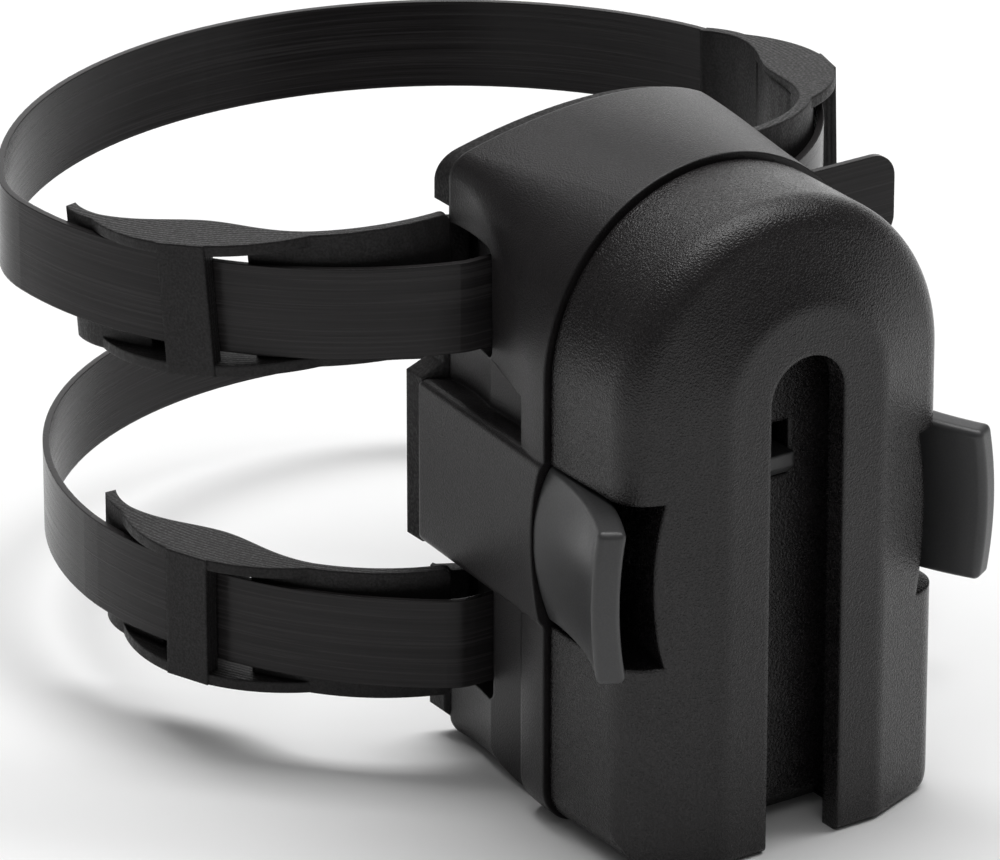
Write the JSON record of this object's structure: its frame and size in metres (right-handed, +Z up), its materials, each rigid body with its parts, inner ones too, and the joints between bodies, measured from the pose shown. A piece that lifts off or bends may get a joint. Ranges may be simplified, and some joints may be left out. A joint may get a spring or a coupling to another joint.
{
  "type": "bike lock bracket",
  "caption": "Arch-topped bracket that straps to a bicycle frame tube and holds a lock in its open slot, with squeeze levers at the sides that release the latch.",
  "frame": {"origin": "middle of the rubber seat, on the line where the frame tube touches it, about half-way between the straps", "axes": "+X across the bracket to its right seen from the front, +Y from the slot towards the tube, +Z up along the tube"},
  "size_m": [0.1175, 0.1431, 0.089],
  "materials": {
    "front_shell": "fine grained moulding",
    "rear_shell": "smooth satin moulding",
    "seat_rubber": "matt",
    "pad_rubber": "matt, finely lined",
    "strap": "satin, faint lengthwise lines",
    "lever": "satin grey",
    "latch": "satin grey",
    "steel": "plain steel"
  },
  "bodies": {
    "bracket": {"front_housing": "front_shell", "housing_screw_1": "steel", "housing_screw_2": "steel", "housing_screw_3": "steel", "housing_screw_4": "steel", "latch_spring": "steel", "left_lever_pin": "steel", "lower_clamp_plate": "steel", "lower_clamp_screw_1": "steel", "lower_clamp_screw_2": "steel", "lower_strap": "strap", "rear_housing": "rear_shell", "right_lever_pin": "steel", "saddle_liner": "seat_rubber", "upper_clamp_plate": "steel", "upper_clamp_screw_1": "steel", "upper_clamp_screw_2": "steel", "upper_strap": "strap"},
    "left_lever": {"left_lever": "lever"},
    "right_lever": {"right_lever": "lever"},
    "latch": {"latch": "latch"},
    "lower_left_pad": {"lower_left_pad": "pad_rubber"},
    "lower_right_pad": {"lower_right_pad": "pad_rubber"},
    "upper_left_pad": {"upper_left_pad": "pad_rubber"},
    "upper_right_pad": {"upper_right_pad": "pad_rubber"}
  },
  "joints": [
    {"name": "left_lever_press", "type": "hinge", "parent": "bracket", "child": "left_lever", "pos_m": [-0.0175, -0.0215, -0.00265], "axis": [0, 0, 1], "range_deg": [0, 10.5], "stiffness_Nm_per_rad": 0.072, "springref_deg": -28.65},
    {"name": "right_lever_press", "type": "hinge", "parent": "bracket", "child": "right_lever", "pos_m": [0.0175, -0.0215, -0.00265], "axis": [0, 0, -1], "range_deg": [0, 10.5]},
    {"name": "latch_slide", "type": "slide", "parent": "bracket", "child": "latch", "axis": [0, 1, 0], "range_m": [0, 0.0026], "deforming": ["latch_spring"]},
    {"name": "upper_left_pad_shift", "type": "hinge", "parent": "bracket", "child": "upper_left_pad", "pos_m": [-0.009, 0.0425, 0.02325], "axis": [0, 0, -1], "range_deg": [0, 6]},
    {"name": "upper_right_pad_shift", "type": "hinge", "parent": "bracket", "child": "upper_right_pad", "pos_m": [0.01133, 0.031, 0.02325], "axis": [0, 0, 1], "range_deg": [0, 6]},
    {"name": "lower_left_pad_shift", "type": "hinge", "parent": "bracket", "child": "lower_left_pad", "pos_m": [0.00617, 0.0408, -0.0246], "axis": [0, 0, -1], "range_deg": [0, 6]},
    {"name": "lower_right_pad_shift", "type": "hinge", "parent": "bracket", "child": "lower_right_pad", "pos_m": [0.00218, 0.043, -0.0246], "axis": [0, 0, 1], "range_deg": [0, 6]}
  ],
  "couplings": [
    {"joint": "right_lever_press", "follows": "left_lever_press", "ratio": 1},
    {"joint": "latch_slide", "follows": "left_lever_press", "m_per_rad": 0.01183}
  ]
}
